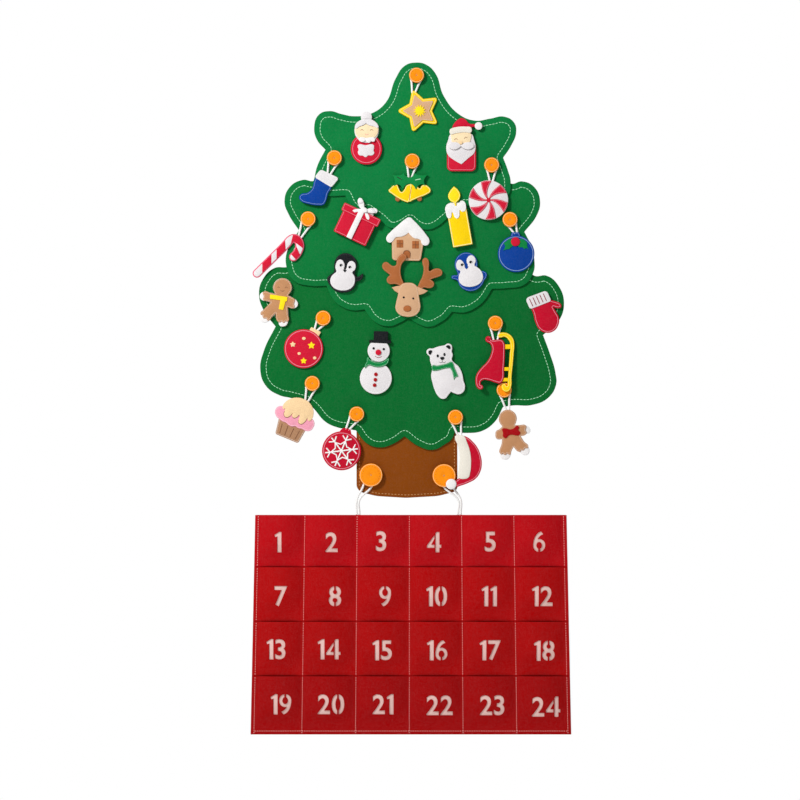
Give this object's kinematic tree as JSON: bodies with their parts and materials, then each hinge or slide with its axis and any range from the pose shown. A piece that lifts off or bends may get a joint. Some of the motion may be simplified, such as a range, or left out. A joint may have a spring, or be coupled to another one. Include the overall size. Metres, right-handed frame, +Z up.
{
  "type": "felt advent calendar",
  "caption": "Felt Christmas tree in three scalloped tiers with hanging and stick-on ornaments on buttons, above a red felt panel of numbered pockets.",
  "frame": {"origin": "top of the opening of the hanging loop, where a hook bears, behind the tree's top", "axes": "+Z up, front towards -Y, +X to the right of someone who looks at the front"},
  "size_m": [0.449, 0.0186, 0.9401],
  "materials": {
    "felt_green": "wool felt, matt",
    "felt_brown": "wool felt, matt",
    "felt_dark_red": "wool felt, matt",
    "felt_orange": "wool felt, matt",
    "felt_yellow": "wool felt, matt",
    "felt_blue": "wool felt, matt",
    "felt_white": "wool felt, matt",
    "felt_red": "wool felt, matt",
    "felt_tan": "wool felt, matt",
    "felt_black": "wool felt, matt",
    "felt_pink": "wool felt, matt",
    "webbing_green": "woven webbing",
    "cord_white": "twisted cotton"
  },
  "bodies": {
    "tree": {"trunk": "felt_brown", "tree_tier_top": "felt_green", "tree_tier_middle": "felt_green", "tree_tier_bottom": "felt_green", "hanging_loop": "webbing_green", "button_star": "felt_orange", "button_stocking": "felt_orange", "button_bells": "felt_orange", "button_peppermint": "felt_orange", "button_blue_ball": "felt_orange", "button_candy_cane": "felt_orange", "button_red_ball": "felt_orange", "button_sleigh": "felt_orange", "button_gingerbread_bow": "felt_orange", "button_cupcake": "felt_orange", "button_snowflake_ball": "felt_orange", "button_red_cap": "felt_orange", "panel_cord_left": "cord_white", "panel_cord_right": "cord_white"},
    "star": {"star": "felt_yellow", "loop_star": "cord_white"},
    "stocking": {"stocking": "felt_blue", "loop_stocking": "cord_white"},
    "bells": {"bells": "felt_yellow", "loop_bells": "cord_white"},
    "peppermint": {"peppermint": "felt_white", "loop_peppermint": "cord_white"},
    "blue_ball": {"blue_ball": "felt_blue", "loop_blue_ball": "cord_white"},
    "candy_cane": {"candy_cane": "felt_red", "loop_candy_cane": "cord_white"},
    "red_ball": {"red_ball": "felt_red", "loop_red_ball": "cord_white"},
    "sleigh": {"sleigh": "felt_red", "loop_sleigh": "cord_white"},
    "gingerbread_bow": {"gingerbread_bow": "felt_tan", "loop_gingerbread_bow": "cord_white"},
    "cupcake": {"cupcake": "felt_pink", "loop_cupcake": "cord_white"},
    "snowflake_ball": {"snowflake_ball": "felt_red", "loop_snowflake_ball": "cord_white"},
    "red_cap": {"red_cap": "felt_red", "loop_red_cap": "cord_white"},
    "white_haired_figure": {"white_haired_figure": "felt_red"},
    "bearded_figure": {"bearded_figure": "felt_red"},
    "gift": {"gift": "felt_red"},
    "candle": {"candle": "felt_yellow"},
    "house": {"house": "felt_tan"},
    "reindeer": {"reindeer": "felt_tan"},
    "black_penguin": {"black_penguin": "felt_black"},
    "blue_penguin": {"blue_penguin": "felt_blue"},
    "gingerbread_scarf": {"gingerbread_scarf": "felt_tan"},
    "mitten": {"mitten": "felt_red"},
    "snowman": {"snowman": "felt_white"},
    "polar_bear": {"polar_bear": "felt_white"},
    "pocket_panel": {"panel_backing": "felt_dark_red", "pocket_row_1": "felt_dark_red", "pocket_row_2": "felt_dark_red", "pocket_row_3": "felt_dark_red", "pocket_row_4": "felt_dark_red"}
  },
  "joints": [
    {"name": "star_swing", "type": "hinge", "parent": "tree", "child": "star", "pos_m": [0.0064, 0, -0.0028], "axis": [0, 1, 0], "range_deg": [-35, 35]},
    {"name": "stocking_swing", "type": "hinge", "parent": "tree", "child": "stocking", "pos_m": [-0.1085, 0, -0.1182], "axis": [0, 1, 0], "range_deg": [-24, 40]},
    {"name": "bells_swing", "type": "hinge", "parent": "tree", "child": "bells", "pos_m": [0.0004, 0, -0.1228], "axis": [0, 1, 0], "range_deg": [-40, 40]},
    {"name": "peppermint_swing", "type": "hinge", "parent": "tree", "child": "peppermint", "pos_m": [0.1113, 0, -0.1281], "axis": [0, 1, 0], "range_deg": [-3, 5]},
    {"name": "blue_ball_swing", "type": "hinge", "parent": "tree", "child": "blue_ball", "pos_m": [0.137, 0, -0.2042], "axis": [0, 1, 0], "range_deg": [-40, 36]},
    {"name": "candy_cane_swing", "type": "hinge", "parent": "tree", "child": "candy_cane", "pos_m": [-0.1452, 0, -0.2034], "axis": [0, 1, 0], "range_deg": [-10, 40]},
    {"name": "red_ball_swing", "type": "hinge", "parent": "tree", "child": "red_ball", "pos_m": [-0.1242, 0, -0.3419], "axis": [0, 1, 0], "range_deg": [-40, 15]},
    {"name": "sleigh_swing", "type": "hinge", "parent": "tree", "child": "sleigh", "pos_m": [0.1166, 0, -0.349], "axis": [0, 1, 0], "range_deg": [-35, 35]},
    {"name": "gingerbread_bow_swing", "type": "hinge", "parent": "tree", "child": "gingerbread_bow", "pos_m": [0.1288, 0, -0.4424], "axis": [0, 1, 0], "range_deg": [-40, 16]},
    {"name": "cupcake_swing", "type": "hinge", "parent": "tree", "child": "cupcake", "pos_m": [-0.1394, 0, -0.4332], "axis": [0, 1, 0], "range_deg": [-22, 40]},
    {"name": "snowflake_ball_swing", "type": "hinge", "parent": "tree", "child": "snowflake_ball", "pos_m": [-0.0773, 0, -0.476], "axis": [0, 1, 0], "range_deg": [-10, 20]},
    {"name": "red_cap_swing", "type": "hinge", "parent": "tree", "child": "red_cap", "pos_m": [0.0608, 0, -0.4805], "axis": [0, 1, 0], "range_deg": [-22, 2]},
    {"name": "white_haired_figure_pull", "type": "slide", "parent": "tree", "child": "white_haired_figure", "axis": [0, -1, 0], "range_m": [0, 0.04]},
    {"name": "bearded_figure_pull", "type": "slide", "parent": "tree", "child": "bearded_figure", "axis": [0, -1, 0], "range_m": [0, 0.04]},
    {"name": "gift_pull", "type": "slide", "parent": "tree", "child": "gift", "axis": [0, -1, 0], "range_m": [0, 0.04]},
    {"name": "candle_pull", "type": "slide", "parent": "tree", "child": "candle", "axis": [0, -1, 0], "range_m": [0, 0.04]},
    {"name": "house_pull", "type": "slide", "parent": "tree", "child": "house", "axis": [0, -1, 0], "range_m": [0, 0.04]},
    {"name": "reindeer_pull", "type": "slide", "parent": "house", "child": "reindeer", "axis": [0, -1, 0], "range_m": [0, 0.04]},
    {"name": "black_penguin_pull", "type": "slide", "parent": "tree", "child": "black_penguin", "axis": [0, -1, 0], "range_m": [0, 0.04]},
    {"name": "blue_penguin_pull", "type": "slide", "parent": "tree", "child": "blue_penguin", "axis": [0, -1, 0], "range_m": [0, 0.04]},
    {"name": "gingerbread_scarf_pull", "type": "slide", "parent": "tree", "child": "gingerbread_scarf", "axis": [0, -1, 0], "range_m": [0, 0.04]},
    {"name": "mitten_pull", "type": "slide", "parent": "tree", "child": "mitten", "axis": [0, -1, 0], "range_m": [0, 0.04]},
    {"name": "snowman_pull", "type": "slide", "parent": "tree", "child": "snowman", "axis": [0, -1, 0], "range_m": [0, 0.04]},
    {"name": "polar_bear_pull", "type": "slide", "parent": "tree", "child": "polar_bear", "axis": [0, -1, 0], "range_m": [0, 0.04]},
    {"name": "panel_swing", "type": "hinge", "parent": "tree", "child": "pocket_panel", "pos_m": [-0.0015, -0.0005, -0.6174], "axis": [-1, 0, 0], "range_deg": [0, 90]}
  ]
}
